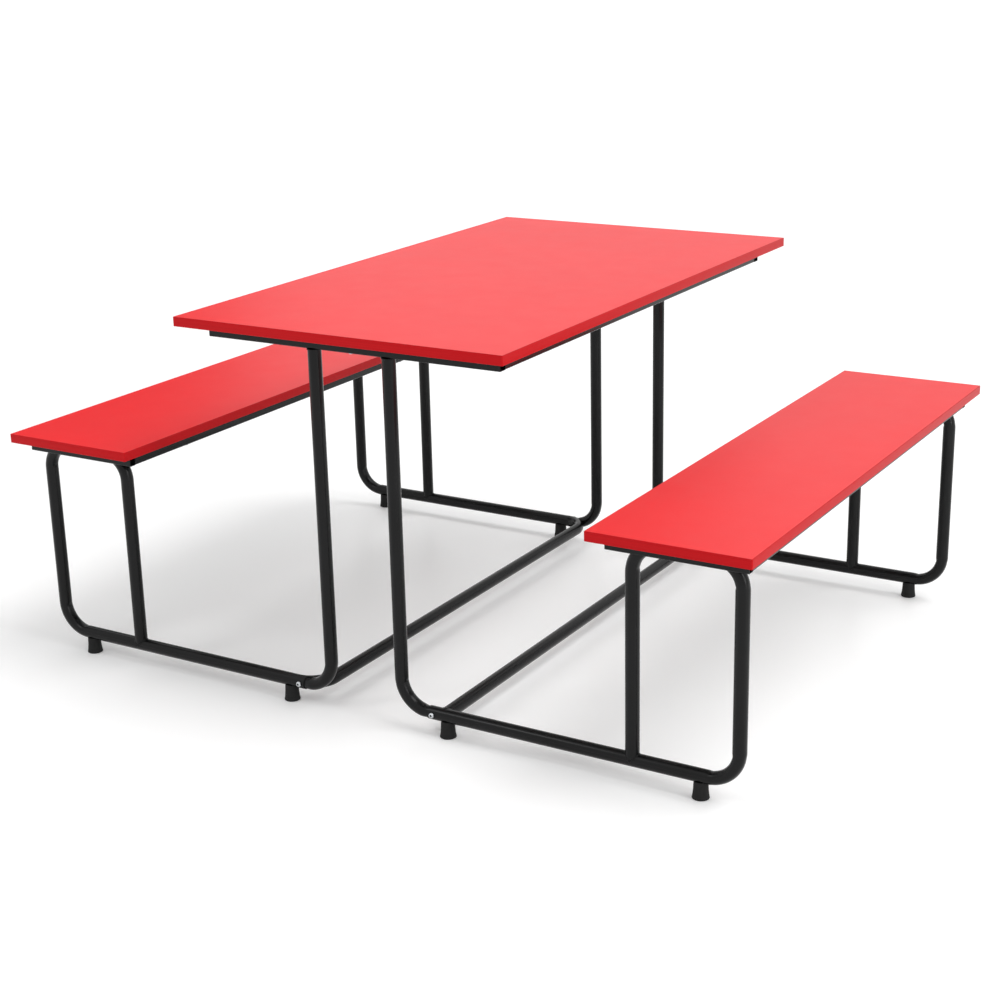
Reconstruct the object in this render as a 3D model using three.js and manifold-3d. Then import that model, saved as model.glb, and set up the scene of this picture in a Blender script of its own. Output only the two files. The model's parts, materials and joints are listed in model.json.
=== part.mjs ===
// Cafeteria table with two attached benches: faced boards on bent steel tube frames.
// Millimetres, +Z up, floor at Z = 0. X runs across the table from bench to bench, Y along its length.
import * as THREE from 'three';
import { mergeVertices } from 'three/addons/utils/BufferGeometryUtils.js';
import Module from 'manifold-3d';

const wasm = await Module();
wasm.setup();

// Boards
const TABLE_LENGTH = 1200;
const TABLE_WIDTH = 700;
const TABLE_HEIGHT = 750;
const SEAT_LENGTH = 1200;
const SEAT_WIDTH = 300;
const SEAT_HEIGHT = 470;
const SEAT_GAP = 148; // open width between the table's edge and a seat's edge
const BOARD = 18; // board thickness
const EDGE_BAND = 1; // thickness of the edge band

// Bent tubes
const TUBE_OD = 25.4;
const TUBE_WALL = 1.5;
const FRAME_INSET = 64; // plane of an end frame, from the ends of the boards
const LEG_OFFSET = 80; // leg axis, from the middle of the table
const LEG_BEND = 58; // bend radii are on the tube's axis
const FLOOR_BEND = 58;
const SEAT_BEND = 50;
const STRETCHER_BEND = 50;
const INNER_LEG_INSET = 58; // bench leg axes, from the seat's inner and outer edges
const OUTER_LEG_INSET = 42;
const FLOOR_CLEARANCE = 29; // height of the floor rails above the floor

// Joint of leg and floor rail
const SHOULDER = 2; // straight length between the leg's bend and the mouth of the rail
const SPIGOT_LENGTH = 30; // reduced end of the leg inside the rail
const BOLT_SETBACK = 11; // bolt axis, from the mouth of the rail
const BOLT_R = 3;
const BOLT_HEAD_R = 5.25;
const BOLT_HEAD_HEIGHT = 3.3;
const BOLT_RIM = 0.8; // straight edge of the button head
const BOLT_DOME_R = 4.5; // a point on its rounded shoulder
const BOLT_DOME_HEIGHT = 2.5;
const BOLT_CROWN_R = 3.2; // flat top round the socket
const HEX_KEY = 4; // width across the flats of the socket
const HEX_DEPTH = 2;
const NUT_ACROSS_FLATS = 10;
const NUT_THICKNESS = 5;

// Stretchers
const STRETCHER_LAP = 20; // the curved stretcher runs into the rail this far from its mouth
const STRETCHER_SETBACK = 32; // the straight stretcher's axis, from the mouth of the rail

// Bars under the boards, rectangular tube
const TABLE_BAR_WIDTH = 20;
const TABLE_BAR_HEIGHT = 26;
const TABLE_BAR_INSET = 38; // outer face, from the table's long edge
const SEAT_BAR_WIDTH = 16;
const SEAT_BAR_HEIGHT = 22;
const SEAT_BAR_INSET = 20;
const BAR_WALL = 1.5;

// Rubber feet
const FOOT_BASE_R = 15.5;
const FOOT_TOP_R = 13;
const FOOT_ROUNDING = 1.5;
const FOOT_STEM_R = 4;
const FOOT_STEM_LENGTH = 7; // above the tube's underside
const INNER_FOOT_SETBACK = 38; // from the mouth of the rail
const OUTER_FOOT_SETBACK = 70; // from the outer leg's axis

// Wood screws through the bars
const SCREW_R = 2;
const SCREW_HEAD_R = 4;
const SCREW_HEAD_HEIGHT = 2.6;
const SCREW_CROWN_R = 2.4; // flat top of the rounded head
const SCREW_RIM = 1.3; // straight edge of the head
const SCREW_BITE = 12; // length in the board
const SCREW_TIP = 3;
const SCREW_SETBACK = 160; // from the ends of the long bars

// Clearances
const GAP = 0.3; // between pieces that touch
const LEG_GAP = 0.5; // round the removable leg, in the curved stretcher's end
const HOLE_GAP = 0.4; // round bolts, stems and screws

// Facets
const TUBE_SIDES = 16;
const BEND_STEPS = 5;
const ROUND_SIDES = 12;
const SCREW_SIDES = 6;
const HEX_SIDES = 6;
const SAME_POINT = 1e-4; // points closer than this are one
const OVERRUN = 2; // cutters run past the faces they cut

// Values that follow from the sizes above
const TUBE_R = TUBE_OD / 2;
const BORE_R = TUBE_R - TUBE_WALL;
const FRAME_Y = TABLE_LENGTH / 2 - FRAME_INSET;
const RAIL_Z = FLOOR_CLEARANCE + TUBE_R;
const MOUTH_X = LEG_OFFSET + LEG_BEND + SHOULDER;
const TABLE_UNDERSIDE = TABLE_HEIGHT - BOARD;
const SEAT_UNDERSIDE = SEAT_HEIGHT - BOARD;
const SEAT_INNER_X = TABLE_WIDTH / 2 + SEAT_GAP;
const SEAT_OUTER_X = SEAT_INNER_X + SEAT_WIDTH;
const SEAT_CENTRE_X = (SEAT_INNER_X + SEAT_OUTER_X) / 2;
const INNER_LEG_X = SEAT_INNER_X + INNER_LEG_INSET;
const OUTER_LEG_X = SEAT_OUTER_X - OUTER_LEG_INSET;
const SEAT_RUN_Z = SEAT_UNDERSIDE - GAP - TUBE_R;
const SPIGOT_R = BORE_R - GAP;
const SPIGOT_BORE_R = SPIGOT_R - TUBE_WALL;
const BOLT_X = MOUTH_X + BOLT_SETBACK;
const NUT_R = NUT_ACROSS_FLATS / 2 / Math.cos(Math.PI / HEX_SIDES);
const NUT_FACE = Math.sqrt((SPIGOT_BORE_R * Math.cos(Math.PI / TUBE_SIDES)) ** 2 - NUT_R ** 2) - GAP;

// Finishes
const finish = (color, roughness, metalness) =>
  new THREE.MeshStandardMaterial({ color, roughness, metalness, flatShading: true });
const redLaminate = () => finish(0xe8393c, 0.35, 0);
const redEdge = () => finish(0xc4202a, 0.45, 0);
const blackPaint = () => finish(0x1b1b1c, 0.4, 0.2);
const blackRubber = () => finish(0x171717, 0.8, 0);
const zincSteel = () => finish(0xb9bcc0, 0.3, 1);

const table = new THREE.Group();

function addPiece(name, geometry, material) {
  const mesh = new THREE.Mesh(geometry, material);
  mesh.name = name;
  table.add(mesh);
  return mesh;
}

// Solids

// Closed three.js geometry to a solid that can be joined and cut.
function solidOf(geometry) {
  const bare = geometry.clone();
  bare.deleteAttribute('normal');
  bare.deleteAttribute('uv');
  const welded = mergeVertices(bare, SAME_POINT);
  const corners = [];
  for (let i = 0; i < welded.index.count; i += 3) {
    const [a, b, c] = [0, 1, 2].map((k) => welded.index.getX(i + k));
    if (a !== b && b !== c && c !== a) corners.push(a, b, c);
  }
  return new wasm.Manifold(new wasm.Mesh({
    numProp: 3,
    vertProperties: new Float32Array(welded.attributes.position.array),
    triVerts: new Uint32Array(corners),
  }));
}

function geometryOf(solid) {
  const { vertProperties, triVerts } = solid.getMesh();
  const geometry = new THREE.BufferGeometry();
  geometry.setAttribute('position', new THREE.BufferAttribute(vertProperties, 3));
  geometry.setIndex(new THREE.BufferAttribute(triVerts, 1));
  geometry.computeVertexNormals();
  return geometry;
}

// Box from its low corner to its high corner.
function boxSolid(low, high) {
  const size = high.clone().sub(low);
  const centre = low.clone().add(high).multiplyScalar(0.5);
  return solidOf(new THREE.BoxGeometry(size.x, size.y, size.z).translate(centre.x, centre.y, centre.z));
}

// Turned piece about +Z, from [radius, height] points that start and end on the axis.
function turned(profile, sides) {
  const points = profile.map(([radius, height]) => new THREE.Vector2(radius, height));
  return new THREE.LatheGeometry(points, sides).rotateX(Math.PI / 2);
}

// Tube bender's path: straight runs between the corners, with an arc of the given radius at each one between.
function bentPath(corners, radii) {
  const heading = (a, b) => b.clone().sub(a).normalize();
  const stations = [{ point: corners[0], tangent: heading(corners[0], corners[1]) }];
  const place = (point, tangent) => {
    if (point.distanceTo(stations.at(-1).point) > SAME_POINT) stations.push({ point, tangent });
  };
  radii.forEach((radius, i) => {
    const corner = corners[i + 1];
    const into = heading(corners[i], corner);
    const out = heading(corner, corners[i + 2]);
    const turn = into.angleTo(out);
    const axis = into.clone().cross(out).normalize();
    const start = corner.clone().addScaledVector(into, -radius * Math.tan(turn / 2));
    const arm = into.clone().cross(axis).multiplyScalar(radius);
    const centre = start.clone().sub(arm);
    for (let step = 0; step <= BEND_STEPS; step += 1) {
      const angle = (turn * step) / BEND_STEPS;
      const spoke = arm.clone().applyAxisAngle(axis, angle);
      place(centre.clone().add(spoke), into.clone().applyAxisAngle(axis, angle));
    }
  });
  place(corners.at(-1), heading(corners.at(-2), corners.at(-1)));
  return stations;
}

// Round bar of the given radius along a path that lies in the plane with this normal.
function sweep(stations, normal, radius) {
  const positions = [];
  const index = [];
  for (const { point, tangent } of stations) {
    const across = normal.clone().cross(tangent);
    for (let k = 0; k < TUBE_SIDES; k += 1) {
      const angle = (2 * Math.PI * k) / TUBE_SIDES;
      const vertex = point.clone();
      vertex.addScaledVector(across, radius * Math.cos(angle));
      vertex.addScaledVector(normal, radius * Math.sin(angle));
      positions.push(vertex.x, vertex.y, vertex.z);
    }
  }
  const last = (stations.length - 1) * TUBE_SIDES;
  for (let k = 0; k < TUBE_SIDES; k += 1) {
    const next = (k + 1) % TUBE_SIDES;
    for (let ring = 0; ring < last; ring += TUBE_SIDES) {
      index.push(ring + k, ring + next, ring + next + TUBE_SIDES);
      index.push(ring + k, ring + next + TUBE_SIDES, ring + k + TUBE_SIDES);
    }
    if (k > 0 && next > 0) {
      index.push(0, next, k);
      index.push(last, last + k, last + next);
    }
  }
  const geometry = new THREE.BufferGeometry();
  geometry.setAttribute('position', new THREE.Float32BufferAttribute(positions, 3));
  geometry.setIndex(index);
  return solidOf(geometry);
}

const UP = new THREE.Vector3(0, 0, 1);
const ALONG = new THREE.Vector3(0, 1, 0);
const rod = (from, to, normal, radius) => sweep(bentPath([from, to], []), normal, radius);

// The four corners of the frame: side is -1 on the left and 1 on the right,
// end is -1 in front and 1 at the rear.
const SIDES = { left: -1, right: 1 };
const ENDS = { front: -1, rear: 1 };
const inFrame = (side, end, x, z) => new THREE.Vector3(side * x, end * FRAME_Y, z);
const ordered = (a, b) => (a < b ? [a, b] : [b, a]);

// Boards and their edge bands
function addBoard(name, width, length, centreX, topZ, screws) {
  const low = new THREE.Vector3(-width / 2 + EDGE_BAND + GAP, -length / 2 + EDGE_BAND + GAP, topZ - BOARD);
  const high = new THREE.Vector3(-low.x, -low.y, topZ);
  const offset = new THREE.Vector3(centreX, 0, 0);
  let board = boxSolid(low.add(offset), high.add(offset));
  for (const [x, y] of screws) {
    const from = new THREE.Vector3(x, y, topZ - BOARD - OVERRUN);
    const to = new THREE.Vector3(x, y, topZ - BOARD + SCREW_BITE + HOLE_GAP);
    board = board.subtract(hole(from, to, SCREW_R + HOLE_GAP, SCREW_SIDES));
  }
  addPiece(`${name}_board`, geometryOf(board), redLaminate());

  const rectangle = (Outline, halfWidth, halfLength) => new Outline([
    new THREE.Vector2(centreX - halfWidth, -halfLength),
    new THREE.Vector2(centreX + halfWidth, -halfLength),
    new THREE.Vector2(centreX + halfWidth, halfLength),
    new THREE.Vector2(centreX - halfWidth, halfLength),
  ]);
  const outline = rectangle(THREE.Shape, width / 2, length / 2);
  outline.holes.push(rectangle(THREE.Path, width / 2 - EDGE_BAND, length / 2 - EDGE_BAND));
  const band = new THREE.ExtrudeGeometry(outline, { depth: BOARD, bevelEnabled: false });
  addPiece(`${name}_edge_band`, band.translate(0, 0, topZ - BOARD), redEdge());
}

// Round cutter between two points on one vertical or horizontal line.
function hole(from, to, radius, sides) {
  const length = from.distanceTo(to);
  const cutter = new THREE.CylinderGeometry(radius, radius, length, sides);
  cutter.applyQuaternion(new THREE.Quaternion().setFromUnitVectors(ALONG, to.clone().sub(from).normalize()));
  const middle = from.clone().add(to).multiplyScalar(0.5);
  return solidOf(cutter.translate(middle.x, middle.y, middle.z));
}

// Rectangular tube under a board, open at both ends, drilled for its screws.
function addBar(name, runsAlong, low, high, screws) {
  const margin = new THREE.Vector3(BAR_WALL, BAR_WALL, BAR_WALL);
  margin[runsAlong] = -OVERRUN;
  let bar = boxSolid(low, high).subtract(boxSolid(low.clone().add(margin), high.clone().sub(margin)));
  for (const [x, y] of screws) {
    const from = new THREE.Vector3(x, y, low.z - OVERRUN);
    const to = new THREE.Vector3(x, y, high.z + OVERRUN);
    bar = bar.subtract(hole(from, to, SCREW_R + HOLE_GAP, SCREW_SIDES));
  }
  addPiece(name, geometryOf(bar), blackPaint());
}

function addScrew(name, x, y, barUnderside, barHeight) {
  const length = barHeight + GAP + SCREW_BITE + GAP;
  const screw = turned([
    [0, -SCREW_HEAD_HEIGHT],
    [SCREW_CROWN_R, -SCREW_HEAD_HEIGHT],
    [SCREW_HEAD_R, -SCREW_RIM],
    [SCREW_HEAD_R, 0],
    [SCREW_R, 0],
    [SCREW_R, length - SCREW_TIP],
    [0, length],
  ], SCREW_SIDES);
  addPiece(name, screw.translate(x, y, barUnderside - GAP), zincSteel());
}

// Table top on its frame: the end bars sit on the legs and run the frame's full width,
// the long bars are welded between them
const tableBarTop = TABLE_UNDERSIDE - GAP;
const tableBarUnder = tableBarTop - TABLE_BAR_HEIGHT;
const tableBarOuterX = TABLE_WIDTH / 2 - TABLE_BAR_INSET;
const tableBarInnerX = tableBarOuterX - TABLE_BAR_WIDTH;
const tableSideEndY = FRAME_Y - TABLE_BAR_WIDTH / 2 - GAP;
const tableScrewY = tableSideEndY - SCREW_SETBACK;
const tableSideX = (tableBarOuterX + tableBarInnerX) / 2;
const tableScrews = [];
for (const [sideName, side] of Object.entries(SIDES)) {
  const screws = [[side * tableSideX, -tableScrewY], [side * tableSideX, tableScrewY]];
  const [lowX, highX] = ordered(side * tableBarInnerX, side * tableBarOuterX);
  const low = new THREE.Vector3(lowX, -tableSideEndY, tableBarUnder);
  const high = new THREE.Vector3(highX, tableSideEndY, tableBarTop);
  addBar(`table_bar_${sideName}`, 'y', low, high, screws);
  tableScrews.push(...screws);
}
for (const [endName, end] of Object.entries(ENDS)) {
  const screws = [[0, end * FRAME_Y]];
  const low = new THREE.Vector3(-tableBarOuterX, end * FRAME_Y - TABLE_BAR_WIDTH / 2, tableBarUnder);
  const high = new THREE.Vector3(tableBarOuterX, end * FRAME_Y + TABLE_BAR_WIDTH / 2, tableBarTop);
  addBar(`table_bar_${endName}`, 'x', low, high, screws);
  tableScrews.push(...screws);
}
addBoard('table_top', TABLE_WIDTH, TABLE_LENGTH, 0, TABLE_HEIGHT, tableScrews);
tableScrews.forEach(([x, y], i) => addScrew(`table_screw_${i + 1}`, x, y, tableBarUnder, TABLE_BAR_HEIGHT));

// Seats on their frames: the end bars lie in front of the bench frames' upper runs,
// the long bars are welded between them
const seatBarTop = SEAT_UNDERSIDE - GAP;
const seatBarUnder = seatBarTop - SEAT_BAR_HEIGHT;
const seatEndInnerY = FRAME_Y + TUBE_R + GAP;
const seatEndOuterY = seatEndInnerY + SEAT_BAR_WIDTH;
const seatSideEndY = seatEndInnerY - GAP;
const seatScrewY = seatSideEndY - SCREW_SETBACK;
const seatBarX = {
  inner: [SEAT_INNER_X + SEAT_BAR_INSET, SEAT_INNER_X + SEAT_BAR_INSET + SEAT_BAR_WIDTH],
  outer: [SEAT_OUTER_X - SEAT_BAR_INSET - SEAT_BAR_WIDTH, SEAT_OUTER_X - SEAT_BAR_INSET],
};
for (const [sideName, side] of Object.entries(SIDES)) {
  const seatScrews = [];
  for (const [edgeName, faces] of Object.entries(seatBarX)) {
    const [lowX, highX] = ordered(side * faces[0], side * faces[1]);
    const screws = [-seatScrewY, seatScrewY].map((y) => [(lowX + highX) / 2, y]);
    const low = new THREE.Vector3(lowX, -seatSideEndY, seatBarUnder);
    const high = new THREE.Vector3(highX, seatSideEndY, seatBarTop);
    addBar(`${sideName}_seat_bar_${edgeName}`, 'y', low, high, screws);
    seatScrews.push(...screws);
  }
  for (const [endName, end] of Object.entries(ENDS)) {
    const [lowX, highX] = ordered(side * seatBarX.inner[0], side * seatBarX.outer[1]);
    const [lowY, highY] = ordered(end * seatEndInnerY, end * seatEndOuterY);
    const low = new THREE.Vector3(lowX, lowY, seatBarUnder);
    const high = new THREE.Vector3(highX, highY, seatBarTop);
    addBar(`${sideName}_seat_bar_${endName}`, 'x', low, high, []);
  }
  addBoard(`${sideName}_seat`, SEAT_WIDTH, SEAT_LENGTH, side * SEAT_CENTRE_X, SEAT_HEIGHT, seatScrews);
  seatScrews.forEach(([x, y], i) => {
    addScrew(`${sideName}_seat_screw_${i + 1}`, x, y, seatBarUnder, SEAT_BAR_HEIGHT);
  });
}

// Table leg: upright under the end bar, bent outward at the floor, reduced to a spigot that enters the rail
function legPath(side, end, reach) {
  const corners = [
    inFrame(side, end, LEG_OFFSET, tableBarUnder - GAP),
    inFrame(side, end, LEG_OFFSET, RAIL_Z),
    inFrame(side, end, reach, RAIL_Z),
  ];
  return bentPath(corners, [LEG_BEND]);
}

function boltHole(side, end) {
  const from = inFrame(side, end, BOLT_X, RAIL_Z);
  const to = from.clone().add(new THREE.Vector3(0, end * (TUBE_R + OVERRUN), 0));
  return hole(from, to, BOLT_R + HOLE_GAP, ROUND_SIDES);
}

function addLeg(name, side, end) {
  const spigotEnd = MOUTH_X + SPIGOT_LENGTH;
  const neck = MOUTH_X - TUBE_WALL;
  const rail = (x) => inFrame(side, end, x, RAIL_Z);
  const bore = legPath(side, end, neck);
  bore[0].point.z += OVERRUN;
  const leg = sweep(legPath(side, end, MOUTH_X), ALONG, TUBE_R)
    .add(rod(rail(neck), rail(spigotEnd), ALONG, SPIGOT_R))
    .subtract(sweep(bore, ALONG, BORE_R))
    .subtract(rod(rail(neck - TUBE_WALL), rail(spigotEnd + OVERRUN), ALONG, SPIGOT_BORE_R))
    .subtract(boltHole(side, end));
  addPiece(name, geometryOf(leg), blackPaint());
}

// Bench frame: one tube from the mouth of the floor rail out, up, across under the seat and down again,
// where its end is coped and welded to the rail
const FEET_X = { inner: MOUTH_X + INNER_FOOT_SETBACK, outer: OUTER_LEG_X - OUTER_FOOT_SETBACK };
const railMouth = MOUTH_X + GAP;

function addBenchFrame(name, side, end) {
  const midway = (RAIL_Z + SEAT_RUN_Z) / 2;
  const bends = [FLOOR_BEND, SEAT_BEND, SEAT_BEND];
  const route = (mouth, tail) => bentPath([
    inFrame(side, end, mouth, RAIL_Z),
    inFrame(side, end, OUTER_LEG_X, RAIL_Z),
    inFrame(side, end, OUTER_LEG_X, SEAT_RUN_Z),
    inFrame(side, end, INNER_LEG_X, SEAT_RUN_Z),
    inFrame(side, end, INNER_LEG_X, tail),
  ], bends);
  const legFoot = inFrame(side, end, INNER_LEG_X, RAIL_Z);
  const legTop = inFrame(side, end, INNER_LEG_X, midway);
  const railEnd = inFrame(side, end, OUTER_LEG_X, RAIL_Z);
  const railSkin = rod(inFrame(side, end, railMouth, RAIL_Z), railEnd, ALONG, TUBE_R);
  let frame = sweep(route(railMouth, midway - OVERRUN), ALONG, TUBE_R)
    .add(rod(legFoot, legTop, ALONG, TUBE_R))
    .subtract(sweep(route(railMouth - OVERRUN, midway - OVERRUN), ALONG, BORE_R))
    .subtract(rod(legFoot, legTop, ALONG, BORE_R).subtract(railSkin))
    .subtract(boltHole(side, end));
  for (const x of Object.values(FEET_X)) {
    const from = inFrame(side, end, x, RAIL_Z);
    const to = inFrame(side, end, x, RAIL_Z - TUBE_R - OVERRUN);
    frame = frame.subtract(hole(from, to, FOOT_STEM_R + HOLE_GAP, ROUND_SIDES));
  }
  addPiece(name, geometryOf(frame), blackPaint());
}

// Rubber foot: a tapered block under the rail, with a stem pushed into it
function addFoot(name, side, end, x) {
  const top = FLOOR_CLEARANCE - GAP;
  const stemTop = FLOOR_CLEARANCE + FOOT_STEM_LENGTH;
  const foot = turned([
    [0, 0],
    [FOOT_BASE_R - FOOT_ROUNDING, 0],
    [FOOT_BASE_R, FOOT_ROUNDING],
    [FOOT_TOP_R, top],
    [FOOT_STEM_R, top],
    [FOOT_STEM_R, stemTop],
    [0, stemTop],
  ], ROUND_SIDES);
  const { x: footX, y: footY } = inFrame(side, end, x, 0);
  addPiece(name, foot.translate(footX, footY, 0), blackRubber());
}

// Button-head bolt through the rail and the spigot, and the hex nut inside the spigot
function addBoltAndNut(corner, side, end) {
  const headSeat = TUBE_R + GAP;
  const shank = headSeat - NUT_FACE + NUT_THICKNESS;
  const bolt = solidOf(turned([
    [0, -shank],
    [BOLT_R, -shank],
    [BOLT_R, 0],
    [BOLT_HEAD_R, 0],
    [BOLT_HEAD_R, BOLT_RIM],
    [BOLT_DOME_R, BOLT_DOME_HEIGHT],
    [BOLT_CROWN_R, BOLT_HEAD_HEIGHT],
    [0, BOLT_HEAD_HEIGHT],
  ], ROUND_SIDES));
  const socketR = HEX_KEY / 2 / Math.cos(Math.PI / HEX_SIDES);
  const socketFloor = new THREE.Vector3(0, 0, BOLT_HEAD_HEIGHT - HEX_DEPTH);
  const socketTop = new THREE.Vector3(0, 0, BOLT_HEAD_HEIGHT + OVERRUN);
  const socket = hole(socketFloor, socketTop, socketR, HEX_SIDES);
  const place = (mesh, depth) => {
    mesh.rotation.x = -end * Math.PI / 2;
    mesh.position.copy(inFrame(side, end, BOLT_X, RAIL_Z));
    mesh.position.y += end * depth;
  };
  place(addPiece(`joint_bolt_${corner}`, geometryOf(bolt.subtract(socket)), zincSteel()), headSeat);

  const nutBack = new THREE.Vector3(0, 0, -NUT_THICKNESS);
  const nutFront = new THREE.Vector3(0, 0, 0);
  const nut = hole(nutBack, nutFront, NUT_R, HEX_SIDES).subtract(hole(
    nutBack.clone().addScaledVector(UP, -OVERRUN),
    nutFront.clone().addScaledVector(UP, OVERRUN),
    BOLT_R + HOLE_GAP,
    ROUND_SIDES,
  ));
  place(addPiece(`joint_nut_${corner}`, geometryOf(nut), zincSteel()), NUT_FACE);
}

for (const [endName, end] of Object.entries(ENDS)) {
  for (const [sideName, side] of Object.entries(SIDES)) {
    const corner = `${endName}_${sideName}`;
    addLeg(`table_leg_${corner}`, side, end);
    addBenchFrame(`bench_frame_${corner}`, side, end);
    addBoltAndNut(corner, side, end);
    for (const [place, x] of Object.entries(FEET_X)) {
      addFoot(`foot_${corner}_${place}`, side, end, x);
    }
  }
}

// Stretchers along the floor, welded to the rails at both ends
function addStretcher(name, side, corners, radii) {
  const path = bentPath(corners, radii);
  let stretcher = sweep(path, UP, TUBE_R).subtract(sweep(path, UP, BORE_R));
  for (const end of Object.values(ENDS)) {
    const rail = rod(
      inFrame(side, end, railMouth, RAIL_Z),
      inFrame(side, end, OUTER_LEG_X, RAIL_Z),
      ALONG,
      TUBE_R + GAP,
    );
    const leg = sweep(legPath(side, end, MOUTH_X + GAP), ALONG, TUBE_R + LEG_GAP);
    stretcher = stretcher.subtract(rail).subtract(leg);
  }
  addPiece(name, geometryOf(stretcher), blackPaint());
}

// The right one is straight; the left one passes close behind the legs, and its ends curve out into the rails
const straightX = MOUTH_X + STRETCHER_SETBACK;
addStretcher('stretcher_right', SIDES.right, [
  inFrame(SIDES.right, ENDS.front, straightX, RAIL_Z),
  inFrame(SIDES.right, ENDS.rear, straightX, RAIL_Z),
], []);
const curveEndX = MOUTH_X + STRETCHER_LAP;
const curvedX = curveEndX - STRETCHER_BEND;
addStretcher('stretcher_left', SIDES.left, [
  inFrame(SIDES.left, ENDS.front, curveEndX, RAIL_Z),
  inFrame(SIDES.left, ENDS.front, curvedX, RAIL_Z),
  inFrame(SIDES.left, ENDS.rear, curvedX, RAIL_Z),
  inFrame(SIDES.left, ENDS.rear, curveEndX, RAIL_Z),
], [STRETCHER_BEND, STRETCHER_BEND]);

export default table;
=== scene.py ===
"""Cafeteria table with two attached benches: red faced boards on black bent tube frames. Metres, +Z up."""
import json
import math

import bmesh
import bpy
from mathutils import Matrix, Vector


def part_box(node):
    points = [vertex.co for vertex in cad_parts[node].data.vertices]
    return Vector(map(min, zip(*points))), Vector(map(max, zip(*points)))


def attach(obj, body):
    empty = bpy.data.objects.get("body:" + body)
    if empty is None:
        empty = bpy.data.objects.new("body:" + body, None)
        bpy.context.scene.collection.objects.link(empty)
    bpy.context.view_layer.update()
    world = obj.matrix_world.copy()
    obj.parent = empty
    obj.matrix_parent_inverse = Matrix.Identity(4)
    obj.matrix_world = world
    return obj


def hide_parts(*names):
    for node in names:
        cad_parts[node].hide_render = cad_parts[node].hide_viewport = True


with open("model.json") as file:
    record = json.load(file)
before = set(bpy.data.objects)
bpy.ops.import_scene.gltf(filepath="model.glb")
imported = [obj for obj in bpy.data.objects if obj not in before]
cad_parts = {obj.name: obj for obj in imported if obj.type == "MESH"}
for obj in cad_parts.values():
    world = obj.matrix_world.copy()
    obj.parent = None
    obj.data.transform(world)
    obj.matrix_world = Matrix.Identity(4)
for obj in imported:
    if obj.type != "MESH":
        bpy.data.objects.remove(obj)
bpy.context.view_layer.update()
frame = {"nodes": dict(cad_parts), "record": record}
nodes = frame["nodes"]

MM = 0.001
SIDES = {"left": -1, "right": 1}
ENDS = {"front": -1, "rear": 1}
CORNERS = {f"{end}_{side}": (SIDES[side], ENDS[end]) for end in ENDS for side in SIDES}
ACROSS = Vector((1, 0, 0))
ALONG = Vector((0, 1, 0))
UP = Vector((0, 0, 1))

# Sizes that the frame gives: the front right leg and bench frame stand for all four
leg_low, leg_high = map(Vector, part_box("table_leg_front_right"))
loop_low, loop_high = map(Vector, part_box("bench_frame_front_right"))
straight_low, straight_high = map(Vector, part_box("stretcher_right"))
curved_high = Vector(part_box("stretcher_left")[1])
seat_low, seat_high = map(Vector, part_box("left_seat_board"))
TUBE_R = (leg_high.y - leg_low.y) / 2
FRAME_Y = -(leg_high.y + leg_low.y) / 2
RAIL_Z = leg_low.z + TUBE_R
LEG_X = leg_low.x + TUBE_R
LEG_TOP = leg_high.z
SPIGOT_END = leg_high.x
RAIL_MOUTH = loop_low.x
OUTER_LEG_X = loop_high.x - TUBE_R
SEAT_RUN_Z = loop_high.z - TUBE_R
STRAIGHT_X = (straight_low.x + straight_high.x) / 2
CURVED_X = -(curved_high.x - TUBE_R)
LEFT_SEAT_MIDDLE = (seat_low + seat_high) / 2

# Tube sizes that a box can't give
TUBE_WALL = 1.5 * MM
SPIGOT_R = 10.9 * MM
INNER_LEG_X = 556 * MM
LEG_BEND = 58 * MM
FLOOR_BEND = 58 * MM
SEAT_BEND = 50 * MM
STRETCHER_BEND = 50 * MM
NECK = 16 * MM  # length over which the leg is drawn down to its spigot
CUT_EDGE = 0.4 * MM  # rounding of a sawn tube end under its paint

# How a bend leaves the tube: flattened inside, a little outside, swollen at the sides, kinked at both ends
INNER_FLAT = 0.10
OUTER_FLAT = 0.035
SIDE_SWELL = 0.015
KINK = 0.45
KINK_PLACE = 0.10
KINK_WIDTH = 0.045

# Weld beads: how thick they are, and the ripples that the torch leaves
LEG_BEAD = 1.5 * MM
SADDLE_BEAD = 1.2 * MM
BEAD_RIPPLES = 22
BEAD_RIPPLE = 0.14
BEAD_SIDES = 8

# Facets
TUBE_SIDES = 40
BEND_STEPS = 28
ROUND_SIDES = 48
ARC_STEPS = 6
QUARTER_TURN = [math.pi / 2 * step / ARC_STEPS for step in range(ARC_STEPS + 1)]
SHARP = math.radians(40)
CENTRE_R = 0.2 * MM  # the smallest ring, round the axis of a turned piece


# Materials

def linear(code):
    """sRGB hex to linear colour."""
    channels = [int(code[i:i + 2], 16) / 255 for i in (1, 3, 5)]
    return (*[c / 12.92 if c <= 0.04045 else ((c + 0.055) / 1.055) ** 2.4 for c in channels], 1)


def add_node(tree, kind, settings=None, links=None):
    """One shader node with its settings, its socket values and the sockets that feed it."""
    node = tree.nodes.new(kind)
    for key, value in (settings or {}).items():
        if isinstance(key, str) and hasattr(node, key):
            setattr(node, key, value)
        else:
            node.inputs[key].default_value = value
    for key, socket in (links or {}).items():
        tree.links.new(socket, node.inputs[key])
    return node


def surface(name, values):
    """Empty material with one Principled shader. Gives the tree, the shader and the object's coordinates."""
    material = bpy.data.materials.new(name)
    material.use_nodes = True
    tree = material.node_tree
    tree.nodes.clear()
    shader = add_node(tree, "ShaderNodeBsdfPrincipled", values)
    add_node(tree, "ShaderNodeOutputMaterial", links={"Surface": shader.outputs["BSDF"]})
    place = add_node(tree, "ShaderNodeTexCoord").outputs["Object"]
    return material, tree, shader, place


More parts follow.
